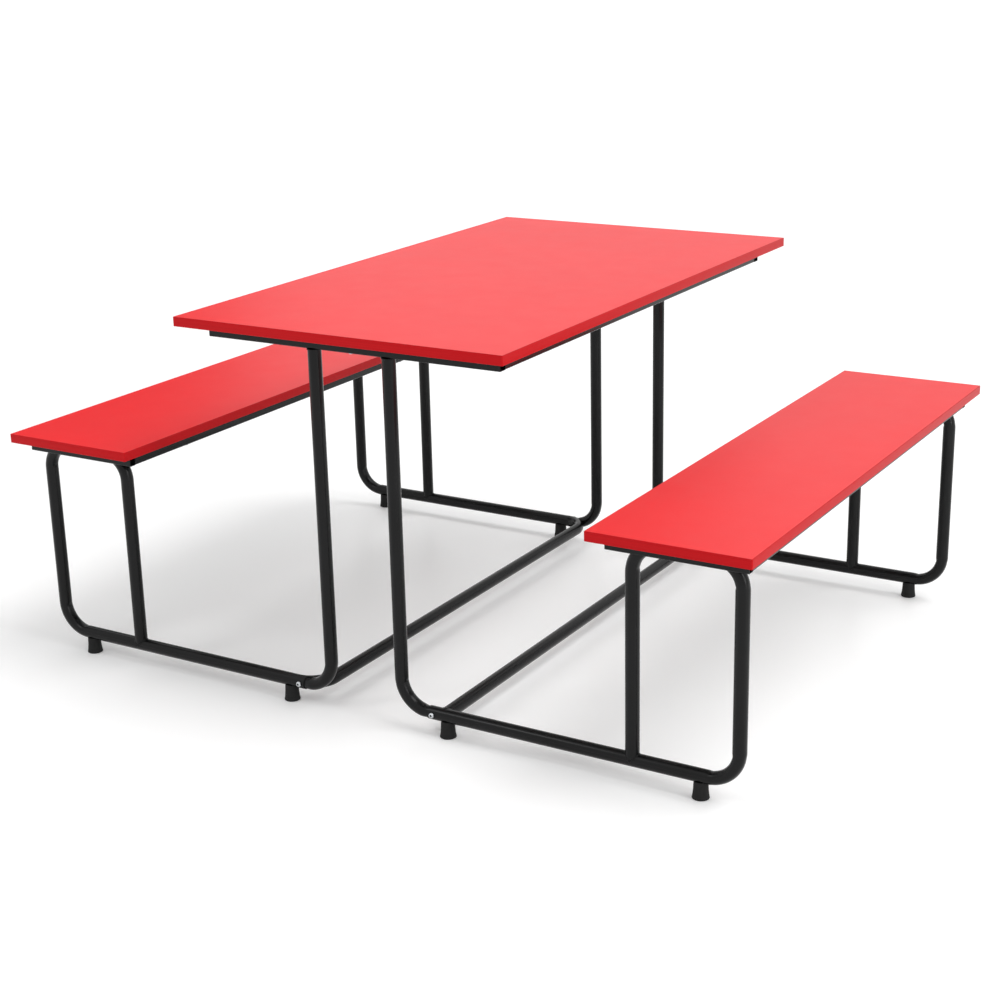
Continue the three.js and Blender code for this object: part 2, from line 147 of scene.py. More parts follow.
def drive(tree, shader, tones=None, roughness=None, relief=None):
    """Lets noise drive the shader: the colour between two tones, the roughness and the skin's relief."""
    if tones:
        pattern, span, codes = tones
        tint = add_node(tree, "ShaderNodeValToRGB", links={"Fac": pattern.outputs["Fac"]})
        for stop, position, code in zip(tint.color_ramp.elements, span, codes):
            stop.position = position
            stop.color = linear(code)
        tree.links.new(tint.outputs["Color"], shader.inputs["Base Color"])
    if roughness:
        pattern, least, most = roughness
        values = {"To Min": least, "To Max": most}
        rough = add_node(tree, "ShaderNodeMapRange", values, {"Value": pattern.outputs["Fac"]})
        tree.links.new(rough.outputs["Result"], shader.inputs["Roughness"])
    if relief:
        pattern, strength, depth = relief
        values = {"Strength": strength, "Distance": depth}
        bump = add_node(tree, "ShaderNodeBump", values, {"Height": pattern.outputs["Fac"]})
        tree.links.new(bump.outputs["Normal"], shader.inputs["Normal"])


def melamine_board():
    """Melamine paper pressed hot on chipboard with a pearl plate: an even red with a silky, broad sheen."""
    pearl = 2.5 * MM  # a real pearl grain is near 1 mm, drawn coarser so that it shows
    cloud = 160 * MM
    rub = 45 * MM
    values = {"Specular IOR Level": 0.3}
    material, tree, shader, place = surface("melamine faced board, pressed pearl", values)
    clouds = add_node(tree, "ShaderNodeTexNoise", {"Scale": 1 / cloud, "Detail": 3}, {"Vector": place})
    rubbed = add_node(tree, "ShaderNodeTexNoise", {"Scale": 1 / rub, "Detail": 4}, {"Vector": place})
    grain = add_node(tree, "ShaderNodeTexNoise", {"Scale": 1 / pearl, "Detail": 1}, {"Vector": place})
    drive(
        tree, shader,
        tones=(clouds, (0.3, 0.7), ("#E8151C", "#EB161D")),
        roughness=(rubbed, 0.38, 0.43),
        relief=(grain, 0.8, 0.15 * MM),
    )
    return material


def edge_banding():
    """ABS strip, extruded and scraped flush: a deeper, smoother red with faint lines along its length."""
    scrape = 0.9 * MM  # height of the scraper's lines, drawn coarse enough to show
    draw = 400 * MM  # their length
    values = {"Specular IOR Level": 0.1}
    material, tree, shader, place = surface("ABS edge band, extruded and scraped", values)
    stretch = {"Scale": (1 / draw, 1 / draw, 1 / scrape)}
    drawn = add_node(tree, "ShaderNodeMapping", stretch, {"Vector": place})
    along = {"Vector": drawn.outputs["Vector"]}
    lines = add_node(tree, "ShaderNodeTexNoise", {"Scale": 1, "Detail": 2}, along)
    drive(
        tree, shader,
        tones=(lines, (0.35, 0.65), ("#B40B13", "#BC0D15")),
        roughness=(lines, 0.32, 0.44),
        relief=(lines, 0.4, 0.05 * MM),
    )
    return material


def balancing_paper():
    """Plain resin paper pressed on the underside to keep the board flat: pale grey with a few fibres."""
    fibre = 4 * MM
    values = {"Specular IOR Level": 0.3, "Roughness": 0.6}
    material, tree, shader, place = surface("melamine balancing paper, pressed", values)
    pulp = add_node(tree, "ShaderNodeTexNoise", {"Scale": 1 / fibre, "Detail": 5}, {"Vector": place})
    drive(tree, shader, tones=(pulp, (0.3, 0.7), ("#B4B3B1", "#C4C3C1")))
    return material


def powder_coat():
    """Epoxy powder baked on steel tube: satin black with a slight orange peel and soft highlights."""
    peel = 2.5 * MM
    drift = 90 * MM
    values = {"Specular IOR Level": 0.2}
    material, tree, shader, place = surface("steel tube, satin black powder coat", values)
    bake = add_node(tree, "ShaderNodeTexNoise", {"Scale": 1 / drift, "Detail": 3}, {"Vector": place})
    skin = add_node(tree, "ShaderNodeTexNoise", {"Scale": 1 / peel, "Detail": 1}, {"Vector": place})
    drive(
        tree, shader,
        tones=(bake, (0.3, 0.7), ("#090909", "#0E0E0F")),
        roughness=(bake, 0.20, 0.27),
        relief=(skin, 0.5, 0.08 * MM),
    )
    return material


def moulded_rubber():
    """Natural rubber, compression moulded: dull black with a fine sandy grain and a grey bloom."""
    grit = 1.6 * MM
    bloom = 14 * MM
    material, tree, shader, place = surface("black rubber, moulded", {"Specular IOR Level": 0.25})
    dust = add_node(tree, "ShaderNodeTexNoise", {"Scale": 1 / bloom, "Detail": 4}, {"Vector": place})
    sand = add_node(tree, "ShaderNodeTexNoise", {"Scale": 1 / grit, "Detail": 2}, {"Vector": place})
    drive(
        tree, shader,
        tones=(dust, (0.35, 0.75), ("#101010", "#1C1C1C")),
        roughness=(dust, 0.6, 0.8),
        relief=(sand, 0.6, 0.1 * MM),
    )
    return material


def painted_socket_shade():
    """Painted shade for a punched socket: the steel inside is made nearly black in place of the shade in the
    recess, with a glint from its low roughness.
    """
    mottle = 1.2 * MM
    material, tree, shader, place = surface("steel socket, painted shade", {"Specular IOR Level": 0.4})
    mottling = add_node(tree, "ShaderNodeTexNoise", {"Scale": 1 / mottle, "Detail": 2}, {"Vector": place})
    # painted shade: near-black tones in place of the shade inside the socket
    drive(tree, shader, tones=(mottling, (0, 1), ("#0B0B0B", "#1A1A19")), roughness=(mottling, 0.25, 0.4))
    return material


def zinc_plate():
    """Cold-headed steel, zinc plated and passivated: bright silver with slightly cloudy patches."""
    patch = 3 * MM
    material, tree, shader, place = surface("steel, zinc plated", {"Metallic": 1.0})
    cloudy = add_node(tree, "ShaderNodeTexNoise", {"Scale": 1 / patch, "Detail": 3}, {"Vector": place})
    drive(tree, shader, tones=(cloudy, (0.3, 0.7), ("#B9BDC2", "#D9DBDD")), roughness=(cloudy, 0.2, 0.34))
    return material


BACKING = balancing_paper()
# near-black steel that stands in for the shade inside the bolts' sockets (painted shade)
SOCKET_SHADE = painted_socket_shade()
FINISHES = {
    "board_face": melamine_board(),
    "edge_band": edge_banding(),
    "frame_paint": powder_coat(),
    "foot_rubber": moulded_rubber(),
    "zinc_steel": zinc_plate(),
}

for row in frame["record"]["subparts"]:
    mesh = nodes[row["node"]].data
    mesh.materials.clear()
    mesh.materials.append(FINISHES[row["material_slot"]])


# Mesh tools

def piece(name, body, slot, replaced=()):
    """A finished mesh that rides on the table, in the finish of its slot."""
    bmesh.ops.recalc_face_normals(body, faces=body.faces)
    mesh = bpy.data.meshes.new(name)
    body.to_mesh(mesh)
    body.free()
    mesh.shade_smooth()
    mesh.set_sharp_from_angle(angle=SHARP)
    mesh.materials.append(FINISHES[slot])
    made = bpy.data.objects.new(name, mesh)
    bpy.context.scene.collection.objects.link(made)
    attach(made, "root")
    if replaced:
        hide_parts(*replaced)
    return made


def loft(rings, closed=False, body=None):
    """Skin over rings of equal count. Closed joins the last ring to the first, open gets end faces."""
    body = body or bmesh.new()
    rows = [[body.verts.new(point) for point in points] for points in rings]
    pairs = list(zip(rows, rows[1:]))
    if closed:
        pairs.append((rows[-1], rows[0]))
    for near, far in pairs:
        for k in range(len(near)):
            after = (k + 1) % len(near)
            body.faces.new((near[k], near[after], far[after], far[k]))
    if not closed:
        body.faces.new(rows[0][::-1])
        body.faces.new(rows[-1])
    return body


def smooth_step(value):
    """Rises from 0 to 1 without a corner at either end."""
    value = min(max(value, 0), 1)
    return value * value * (3 - 2 * value)


def crush_at(share):
    """How far a bend is flattened at this share of its arc, with a kink near each end."""
    nearer = min(share, 1 - share)
    kink = KINK * math.exp(-(((nearer - KINK_PLACE) / KINK_WIDTH) ** 2))
    return smooth_step(nearer / KINK_PLACE) + kink


def bent_path(corners, radii, plane):
    """Stations (point, heading, crush) of a bent tube. Crush is positive where the bend turns about plane."""
    stations = [(corners[0], (corners[1] - corners[0]).normalized(), 0)]
    for i, radius in enumerate(radii):
        into = (corners[i + 1] - corners[i]).normalized()
        out = (corners[i + 2] - corners[i + 1]).normalized()
        turn = into.angle(out)
        axis = into.cross(out).normalized()
        start = corners[i + 1] - into * (radius * math.tan(turn / 2))
        centre = start + axis.cross(into) * radius
        for step in range(BEND_STEPS + 1):
            share = step / BEND_STEPS
            swing = Matrix.Rotation(turn * share, 3, axis)
            point = centre + swing @ (start - centre)
            stations.append((point, swing @ into, axis.dot(plane) * crush_at(share)))
    stations.append((corners[-1], (corners[-1] - corners[-2]).normalized(), 0))
    spaced = [s for s, after in zip(stations, stations[1:]) if (s[0] - after[0]).length > CUT_EDGE]
    return spaced + stations[-1:]


def ring(station, plane, radius):
    """Section of the tube at a station, flattened where it is bent."""
    point, heading, crush = station
    side = plane.cross(heading)
    points = []
    for k in range(TUBE_SIDES):
        angle = math.tau * k / TUBE_SIDES
        inward = math.cos(angle)
        flat = INNER_FLAT if inward * crush > 0 else OUTER_FLAT
        reach = radius * inward * (1 - flat * abs(crush) * inward ** 2)
        width = radius * math.sin(angle) * (1 + SIDE_SWELL * abs(crush))
        points.append(point + side * reach + plane * width)
    return points


def sawn_mouth(station, plane, radius):
    """Two rings that round the edge of a tube's sawn end, at the start of its path."""
    point, heading, crush = station
    inside = (point + heading * CUT_EDGE, heading, crush)
    return [ring(station, plane, radius - CUT_EDGE), ring(inside, plane, radius)]


def coped(points, on_axis, axis, travel):
    """Moves the points of an end ring along travel on to the skin of the tube that they meet."""
    across = axis.cross(travel)
    placed = []
    for point in points:
        arm = point - on_axis
        depth = math.sqrt(max(TUBE_R ** 2 - min(abs(arm.dot(across)), TUBE_R) ** 2, 0))
        placed.append(point + travel * (-depth - arm.dot(travel)))
    return placed


def bead(points, axis_point, axis, radius, body):
    """Weld bead with the ripples of the torch, along a closed line of points round an axis."""
    angles = [math.tau * j / BEAD_SIDES for j in range(BEAD_SIDES)]
    count = len(points)
    rings = []
    for k, point in enumerate(points):
        run = (points[(k + 1) % count] - points[k - 1]).normalized()
        arm = point - axis_point
        out = (arm - axis * arm.dot(axis)).normalized()
        lift = run.cross(out).normalized()
        out = lift.cross(run)
        size = radius * (1 + BEAD_RIPPLE * math.sin(BEAD_RIPPLES * math.tau * k / count))
        rings.append([point + out * (size * math.cos(a)) + lift * (size * math.sin(a)) for a in angles])
    return loft(rings, closed=True, body=body)


def rounded_rectangle(half_a, half_b, radius):
    """Outline of a rectangle with round corners, as pairs."""
    outline = []
    for quarter, (sign_a, sign_b) in enumerate([(1, 1), (-1, 1), (-1, -1), (1, -1)]):
        for step in range(ARC_STEPS + 1):
            angle = math.pi / 2 * (quarter + step / ARC_STEPS)
            a = sign_a * (half_a - radius) + radius * math.cos(angle)
            b = sign_b * (half_b - radius) + radius * math.sin(angle)
            outline.append((a, b))
    return outline


def turned(profile, place):
    """Skin over (radius, height) rings about place's own Z. Either may be a function of the angle."""
    rings = []
    for radius, height in profile:
        points = []
        for k in range(ROUND_SIDES):
            angle = math.tau * k / ROUND_SIDES
            r = radius(angle) if callable(radius) else radius
            z = height(angle) if callable(height) else height
            points.append(place @ Vector((r * math.cos(angle), r * math.sin(angle), z)))
        rings.append(points)
    return loft(rings)


# Boards: the band's outer edges are rounded over, and it meets the facing flush
BAND_ROUND = 0.9 * MM
CORNER_ROUND = 2.0 * MM
LEAST_ROUND = 0.2 * MM
FACING_EASE = 0.15 * MM  # the facing's edge, where the scraper touched it
FACES_DOWN = -0.5  # a face whose normal points lower than this is the underside


def board_and_band(name):
    """A faced board, with backing paper underneath, and the band round its edge."""
    low, high = map(Vector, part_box(f"{name}_board"))
    band_low, band_high = map(Vector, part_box(f"{name}_edge_band"))
    centre = (low + high) / 2
    half = (high - low) / 2
    band_half = (band_high - band_low) / 2
    seam = band_half.x - half.x

    def outline(inset, height):
        corner = max(CORNER_ROUND - inset, LEAST_ROUND)
        flat = rounded_rectangle(band_half.x - inset, band_half.y - inset, corner)
        return [Vector((centre.x + x, centre.y + y, height)) for x, y in flat]

    facing = [outline(seam, low.z), outline(seam, high.z - FACING_EASE), outline(seam + FACING_EASE, high.z)]
    made = piece(f"{name}_facing", loft(facing), "board_face", [f"{name}_board"])
    made.data.materials.append(BACKING)
    for face in made.data.polygons:
        face.material_index = 1 if face.normal.z < FACES_DOWN else 0

    strip = [outline(seam, low.z)]
    for turn in QUARTER_TURN:
        height = low.z + BAND_ROUND * (1 - math.cos(turn))
        strip.append(outline(BAND_ROUND * (1 - math.sin(turn)), height))
    for turn in QUARTER_TURN:
        height = high.z - BAND_ROUND * (1 - math.sin(turn))
        strip.append(outline(BAND_ROUND * (1 - math.cos(turn)), height))
    strip.append(outline(seam, high.z))
    piece(f"{name}_banding", loft(strip, closed=True), "edge_band", [f"{name}_edge_band"])


for board in ["table_top", "left_seat", "right_seat"]:
    board_and_band(board)


# Bars under the boards: rectangular tube with rounded edges, open at both ends
BAR_ROUND = 2.2 * MM
BAR_BORE_ROUND = 0.5 * MM


def bar(node):
    """One bar in the box of its node, along the longer side."""
    low, high = map(Vector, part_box(node))
    size = high - low
    runs_along = 0 if size.x > size.y else 1
    width = size[1 - runs_along]
    middle = (low[1 - runs_along] + high[1 - runs_along]) / 2
    level = (low.z + high.z) / 2
    start = low[runs_along]
    end = high[runs_along]

    def section(at, inset):
        corner = max(BAR_ROUND - inset, BAR_BORE_ROUND)
        points = []
        for across, height in rounded_rectangle(width / 2 - inset, size.z / 2 - inset, corner):
            point = Vector((0, 0, level + height))
            point[runs_along] = at
            point[1 - runs_along] = middle + across
            points.append(point)
        return points

    rings = [
        section(start, CUT_EDGE),
        section(start + CUT_EDGE, 0),
        section(end - CUT_EDGE, 0),
        section(end, CUT_EDGE),
        section(end, TUBE_WALL),
        section(start, TUBE_WALL),
    ]
    piece(f"{node}_section", loft(rings, closed=True), "frame_paint", [node])


for node in sorted(nodes):
    if "_bar_" in node:
        bar(node)


# Table legs: upright, bent outward at the floor, drawn down to a spigot that enters the rail
def in_frame(side, end, x, z):
    """A point in the plane of an end frame, x out from the middle of the table."""
    return Vector((side * x, end * FRAME_Y, z))


def leg_path(side, end, reach):
    """From the top of a leg down and out along the floor."""
    corners = [
        in_frame(side, end, LEG_X, LEG_TOP),
        in_frame(side, end, LEG_X, RAIL_Z),
        in_frame(side, end, reach, RAIL_Z),
    ]
    return bent_path(corners, [LEG_BEND], ALONG)


def table_leg(corner, side, end):
    """One leg, hollow, with its spigot and the weld at its top."""
    path = leg_path(side, end, RAIL_MOUTH)
    top, downward, _ = path[0]
    spigot_end = (in_frame(side, end, SPIGOT_END, RAIL_Z), path[-1][1], 0)

    def skin(station):
        left = RAIL_MOUTH - abs(station[0].x)
        low = station[0].z < RAIL_Z + LEG_BEND / 2
        return TUBE_R - (TUBE_R - SPIGOT_R) * (1 - smooth_step(left / NECK)) * low

    outer = [ring(station, ALONG, skin(station)) for station in path] + [ring(spigot_end, ALONG, SPIGOT_R)]
    bore = [ring(spigot_end, ALONG, SPIGOT_R - TUBE_WALL)]
    bore += [ring(station, ALONG, skin(station) - TUBE_WALL) for station in reversed(path)]
    body = loft(outer + bore, closed=True)
    bead(ring((top - UP * MM, downward, 0), ALONG, TUBE_R), top, UP, LEG_BEAD, body)
    piece(f"table_leg_{corner}_tube", body, "frame_paint", [f"table_leg_{corner}"])


# Bench frames: one tube out along the floor, up, across under the seat and down again on to its own rail
def bench_frame(corner, side, end):
    """One bent tube, hollow, open at the rail's mouth and coped and welded on to itself."""
    foot = in_frame(side, end, INNER_LEG_X, RAIL_Z)
    corners = [
        in_frame(side, end, RAIL_MOUTH, RAIL_Z),
        in_frame(side, end, OUTER_LEG_X, RAIL_Z),
        in_frame(side, end, OUTER_LEG_X, SEAT_RUN_Z),
        in_frame(side, end, INNER_LEG_X, SEAT_RUN_Z),
        foot + UP * TUBE_R,
    ]
    path = bent_path(corners, [FLOOR_BEND, SEAT_BEND, SEAT_BEND], ALONG)
    bore_r = TUBE_R - TUBE_WALL
    outer = sawn_mouth(path[0], ALONG, TUBE_R) + [ring(station, ALONG, TUBE_R) for station in path[1:-1]]
    bore = [ring(station, ALONG, bore_r) for station in path[:-1]]
    saddle = coped(ring(path[-1], ALONG, TUBE_R), foot, ACROSS, -UP)
    saddle_bore = coped(ring(path[-1], ALONG, bore_r), foot, ACROSS, -UP)
    body = loft(outer + [saddle, saddle_bore] + bore[::-1], closed=True)
    bead(saddle, foot, UP, SADDLE_BEAD, body)
    piece(f"bench_frame_{corner}_tube", body, "frame_paint", [f"bench_frame_{corner}"])


# Rubber feet: tapered, with a rounded rim at the floor and a saddle that fits the rail
FOOT_TAPER = 2.5 * MM
FOOT_RIM = 1.6 * MM
FOOT_TREAD = 4 * MM  # width of the ring that stands on the floor
FOOT_HOLLOW = 0.6 * MM  # depth of the hollow inside that ring
FOOT_FLARE = [(0.3 * MM, 3 * MM), (1.2 * MM, 8 * MM)]  # how far the side falls back at a height
FOOT_WAIST = 0.6  # share of the height at which the taper ends
FOOT_LIP = 1.5 * MM
LIP_ROUND = 0.4 * MM
LIP_FALL = 1.2 * MM
SADDLE_REACH = 0.7  # share of the tube's radius that the saddle covers


def rubber_foot(node):
    """One foot in the box of its node, under a rail."""
    low, high = map(Vector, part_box(node))
    base_r = (high.x - low.x) / 2
    top_r = base_r - FOOT_TAPER
    top = RAIL_Z - TUBE_R

    def seat(radius):
        def height(angle):
            reach = min(abs(radius * math.sin(angle)), TUBE_R * SADDLE_REACH)
            return RAIL_Z - math.sqrt(TUBE_R ** 2 - reach ** 2)
        return height

    profile = [(base_r - FOOT_TREAD - MM, FOOT_HOLLOW), (base_r - FOOT_TREAD, 0)]
    for turn in QUARTER_TURN:
        profile.append((base_r - FOOT_RIM * (1 - math.sin(turn)), FOOT_RIM * (1 - math.cos(turn))))
    profile += [(base_r - fall, height) for fall, height in FOOT_FLARE]
    profile += [
        (top_r + LIP_ROUND, top * FOOT_WAIST),
        (top_r, top - FOOT_LIP),
        (top_r - LIP_ROUND, seat(top_r - LIP_ROUND)),
        (top_r - LIP_FALL, seat(top_r - MM)),
        (top_r / 2, seat(top_r / 2)),
        (MM, seat(MM)),
    ]
    place = Matrix.Translation(((low.x + high.x) / 2, (low.y + high.y) / 2, 0))
    piece(f"{node}_rubber", turned(profile, place), "foot_rubber", [node])


# Joint bolts: button head with a hex socket
BOLT_HEAD = 3.3 * MM
BOLT_SHANK_R = 3 * MM
BOLT_CHAMFER = 0.5 * MM
BOLT_CROWN_R = 3.1 * MM  # flat top of the head, round the socket
BOLT_RIM = 0.7 * MM  # height of the head's upright rim
BOLT_EASE = 0.1 * MM
SOCKET_FLATS = 4 * MM
SOCKET_MOUTH = 4.3 * MM
SOCKET_CHAMFER = 0.2 * MM
SOCKET_SIDE = 1.9 * MM
SOCKET_DEPTH = 2.2 * MM
# painted shade: faces within this reach of the axis form the socket and get the near-black material
SOCKET_REACH = 2.2 * MM  # the socket's faces lie within this of the bolt's axis


def hexagon(across_flats):
    """Radius of a hexagon at an angle."""
    def radius(angle):
        return across_flats / 2 / math.cos((angle % (math.pi / 3)) - math.pi / 6)
    return radius


def joint_bolt(corner, end):
    """One bolt in the box of its node, head outward, with painted shade in its socket."""
    node = f"joint_bolt_{corner}"
    low, high = map(Vector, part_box(node))
    head_r = (high.x - low.x) / 2
    tip = BOLT_HEAD - (high.y - low.y)
    profile = [
        (CENTRE_R, BOLT_HEAD - SOCKET_DEPTH),
        (hexagon(SOCKET_FLATS), BOLT_HEAD - SOCKET_SIDE),
        (hexagon(SOCKET_FLATS), BOLT_HEAD - SOCKET_CHAMFER),
        (hexagon(SOCKET_MOUTH), BOLT_HEAD),
    ]
    for turn in QUARTER_TURN:
        radius = BOLT_CROWN_R + (head_r - BOLT_CROWN_R) * math.sin(turn)
        profile.append((radius, BOLT_HEAD - (BOLT_HEAD - BOLT_RIM) * (1 - math.cos(turn))))
    profile += [
        (head_r, BOLT_EASE),
        (head_r - BOLT_EASE, 0),
        (BOLT_SHANK_R, 0),
        (BOLT_SHANK_R, tip + BOLT_CHAMFER),
        (BOLT_SHANK_R - BOLT_CHAMFER, tip),
    ]
    outer_y = low.y if end < 0 else high.y
    centre = Vector(((low.x + high.x) / 2, outer_y - end * BOLT_HEAD, (low.z + high.z) / 2))
    place = Matrix.Translation(centre) @ Matrix.Rotation(-end * math.pi / 2, 4, "X")
    made = piece(f"{node}_button", turned(profile, place), "zinc_steel", [node])
    # Painted shade: the socket's faces get a near-black material in place of the shade inside the recess
    made.data.materials.append(SOCKET_SHADE)
    for face in made.data.polygons:
        arm = face.center - centre
        outside = arm.y * end > 0
        face.material_index = 1 if outside and math.hypot(arm.x, arm.z) < SOCKET_REACH else 0


# Wood screws: pan heads with a cross recess, driven up through the bars
SCREW_HEAD = 2.6 * MM
SCREW_SHANK_R = 2 * MM
SCREW_POINT = 3 * MM
SCREW_FACE_R = 2.4 * MM  # flat ring round the recess
SCREW_CURVE = [(0.85, 0.3 * MM), (0.97, 0.9 * MM), (1, 1.5 * MM)]  # shares of the head's radius at a depth
RECESS = (2.1 * MM, 0.5 * MM)  # arm and half width of the cross at its mouth
RECESS_TIP = (1.2 * MM, 0.4 * MM)
RECESS_EASE = 0.1 * MM
RECESS_SIDE = 1.6 * MM
RECESS_DEPTH = 1.7 * MM


def cross(arm, half_width):
    """Radius of a cross at an angle."""
    def radius(angle):
        c = max(abs(math.cos(angle)), 1e-6)
        s = max(abs(math.sin(angle)), 1e-6)
        return max(min(arm / c, half_width / s), min(half_width / c, arm / s))
    return radius


def wood_screw(node):
    """One screw in the box of its node, head down."""
    low, high = map(Vector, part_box(node))
    head_r = (high.y - low.y) / 2
    length = high.z - low.z
    profile = [
        (CENTRE_R, RECESS_DEPTH),
        (cross(*RECESS_TIP), RECESS_SIDE),
        (cross(*RECESS), RECESS_EASE),
        (SCREW_FACE_R, 0),
    ]
    profile += [(head_r * share, depth) for share, depth in SCREW_CURVE]
    profile += [
        (head_r, SCREW_HEAD),
        (SCREW_SHANK_R, SCREW_HEAD),
        (SCREW_SHANK_R, length - SCREW_POINT),
        (CENTRE_R, length),
    ]
    place = Matrix.Translation(((low.x + high.x) / 2, (low.y + high.y) / 2, low.z))
    piece(f"{node}_pan", turned(profile, place), "zinc_steel", [node])


for corner, (side, end) in CORNERS.items():
    table_leg(corner, side, end)
    bench_frame(corner, side, end)
    joint_bolt(corner, end)
for node in sorted(nodes):
    if node.startswith("foot_"):
        rubber_foot(node)
    if "_screw_" in node:
        wood_screw(node)


# Stretchers: the right one is straight and coped on to the rails
def straight_stretcher():
    """One straight tube, hollow, welded on to both rails."""
    ends = [Vector((STRAIGHT_X, end * FRAME_Y, RAIL_Z)) for end in ENDS.values()]
    path = bent_path(ends, [], UP)
    outer = []
    bore = []
    for station, end in zip(path, ENDS.values()):
        travel = ALONG * end
        outer.append(coped(ring(station, UP, TUBE_R), station[0], ACROSS, travel))
        bore.append(coped(ring(station, UP, TUBE_R - TUBE_WALL), station[0], ACROSS, travel))
    body = loft(outer + bore[::-1], closed=True)
    for saddle, station in zip(outer, path):
        bead(saddle, station[0], ALONG, SADDLE_BEAD, body)
    piece("stretcher_right_tube", body, "frame_paint", ["stretcher_right"])


# The left one passes close behind the legs, and its ends curve out into the rails
LEAD_IN = 2 * MM  # straight end after each curve
RAIL_TRIM = 0.02 * MM  # air between the stretcher and the rail that it is cut to
LEG_TRIM = 0.05 * MM  # and the leg that it passes


def cutter(stations, radius):
    """A solid bar along an end frame's tube, to cut with."""
    mesh = bpy.data.meshes.new("cutter")
    body = loft([ring(station, ALONG, radius) for station in stations])
    bmesh.ops.recalc_face_normals(body, faces=body.faces)
    body.to_mesh(mesh)
    body.free()
    made = bpy.data.objects.new("cutter", mesh)
    bpy.context.scene.collection.objects.link(made)
    return made


def trimmed(made, solids):
    """Cuts the piece back by other solids, which are then thrown away."""
    for solid in solids:
        change = made.modifiers.new("trim", "BOOLEAN")
        change.operation = "DIFFERENCE"
        change.solver = "EXACT"
        change.object = solid
    bpy.context.view_layer.update()
    graph = bpy.context.evaluated_depsgraph_get()
    mesh = bpy.data.meshes.new_from_object(made.evaluated_get(graph))
    made.modifiers.clear()
    made.data = mesh
    mesh.shade_smooth()
    mesh.set_sharp_from_angle(angle=SHARP)
    for solid in solids:
        bpy.data.objects.remove(solid)


def curved_stretcher():
    """One tube with a curve at each end, hollow, cut to the rails and to the legs that it passes."""
    side = SIDES["left"]
    end_x = CURVED_X + STRETCHER_BEND + LEAD_IN
    corners = [
        in_frame(side, ENDS["front"], end_x, RAIL_Z),
        in_frame(side, ENDS["front"], CURVED_X, RAIL_Z),
        in_frame(side, ENDS["rear"], CURVED_X, RAIL_Z),
        in_frame(side, ENDS["rear"], end_x, RAIL_Z),
    ]
    path = bent_path(corners, [STRETCHER_BEND] * 2, UP)
    outer = [ring(station, UP, TUBE_R) for station in path]
    bore = [ring(station, UP, TUBE_R - TUBE_WALL) for station in reversed(path)]
    made = piece("stretcher_left_tube", loft(outer + bore, closed=True), "frame_paint", ["stretcher_left"])
    solids = []
    for end in ENDS.values():
        rail = [in_frame(side, end, RAIL_MOUTH, RAIL_Z), in_frame(side, end, OUTER_LEG_X, RAIL_Z)]
        solids.append(cutter(bent_path(rail, [], ALONG), TUBE_R + RAIL_TRIM))
        solids.append(cutter(leg_path(side, end, RAIL_MOUTH + MM), TUBE_R + LEG_TRIM))
    trimmed(made, solids)


straight_stretcher()
curved_stretcher()


# Stage: a plain white floor, a wide soft sky, three lamps, and a black panel that shapes what is mirrored
FLOOR_HALF = 60
FLOOR_LIFT = 0.08  # own light of the floor, where it is seen
FLAG_HALF = 1.2
FLAG_PLACE = Vector((-5.18, 3.66, 2.0))
SKY_LIGHTING = 0.80
SKY_SEEN = 1.0
SUN_POWER = 1.16
SUN_SPREAD = math.radians(36)
SUN_PLACE = Vector((0, 0, 4))
SUN_FROM = Vector((0.50, 0.15, 1))
STRIP_SIZE = (0.4, 2.4)
STRIP_WATTS = 38
STRIP_PLACE = Vector((4.4, -0.9, 1.5))
STRIP_TARGET = Vector((0, 0, 0.4))
BOX_SIZE = (0.6, 0.6)
BOX_WATTS = 8
BOX_PLACE = Vector((-1.4, -2.2, 2.7))
BOX_TARGET = Vector((0.3, -0.5, 0))


def seen_or_mirrored(tree):
    """1 for rays that show a surface, straight or in a mirror, and 0 for those that light it."""
    path = add_node(tree, "ShaderNodeLightPath")
    seen = add_node(tree, "ShaderNodeMath", {"operation": "MAXIMUM"}, {
        0: path.outputs["Is Camera Ray"], 1: path.outputs["Is Glossy Ray"],
    })
    seen = add_node(tree, "ShaderNodeMath", {"operation": "MAXIMUM"}, {
        0: seen.outputs[0], 1: path.outputs["Is Transmission Ray"],
    })
    return seen.outputs[0]


def stage_panel(name, half, material):
    """A flat square of the stage, which isn't part of the table."""
    mesh = bpy.data.meshes.new(name)
    corners = [(-half, -half, 0), (half, -half, 0), (half, half, 0), (-half, half, 0)]
    mesh.from_pydata(corners, [], [(0, 1, 2, 3)])
    mesh.materials.append(material)
    panel = bpy.data.objects.new(name, mesh)
    bpy.context.scene.collection.objects.link(panel)
    return panel


def studio_floor():
    """White acrylic with a faint sheen, which keeps the table's shadow."""
    material, tree, shader, _ = surface("white acrylic sheet, cast", {
        "Base Color": linear("#FAFAFA"), "Roughness": 0.32, "Specular IOR Level": 0.12,
        "Emission Color": (1, 1, 1, 1),
    })
    seen = {"Value": seen_or_mirrored(tree)}
    lift = add_node(tree, "ShaderNodeMapRange", {"To Min": 0, "To Max": FLOOR_LIFT}, seen)
    tree.links.new(lift.outputs["Result"], shader.inputs["Emission Strength"])
    stage_panel("studio_floor", FLOOR_HALF, material)


def black_flag():
    """Felt on a frame, on the far left and never seen itself: the left bench and the tubes mirror it."""
    nap = 6 * MM
    values = {"Roughness": 1.0, "Specular IOR Level": 0.1}
    material, tree, shader, place = surface("wool felt, dyed black", values)
    wool = add_node(tree, "ShaderNodeTexNoise", {"Scale": 1 / nap, "Detail": 4}, {"Vector": place})
    drive(tree, shader, tones=(wool, (0, 1), ("#060606", "#121212")))
    flag = stage_panel("black_flag", FLAG_HALF, material)
    flag.location = FLAG_PLACE
    flag.rotation_euler = (LEFT_SEAT_MIDDLE - FLAG_PLACE).to_track_quat("Z", "Y").to_euler()
    flag.visible_camera = False


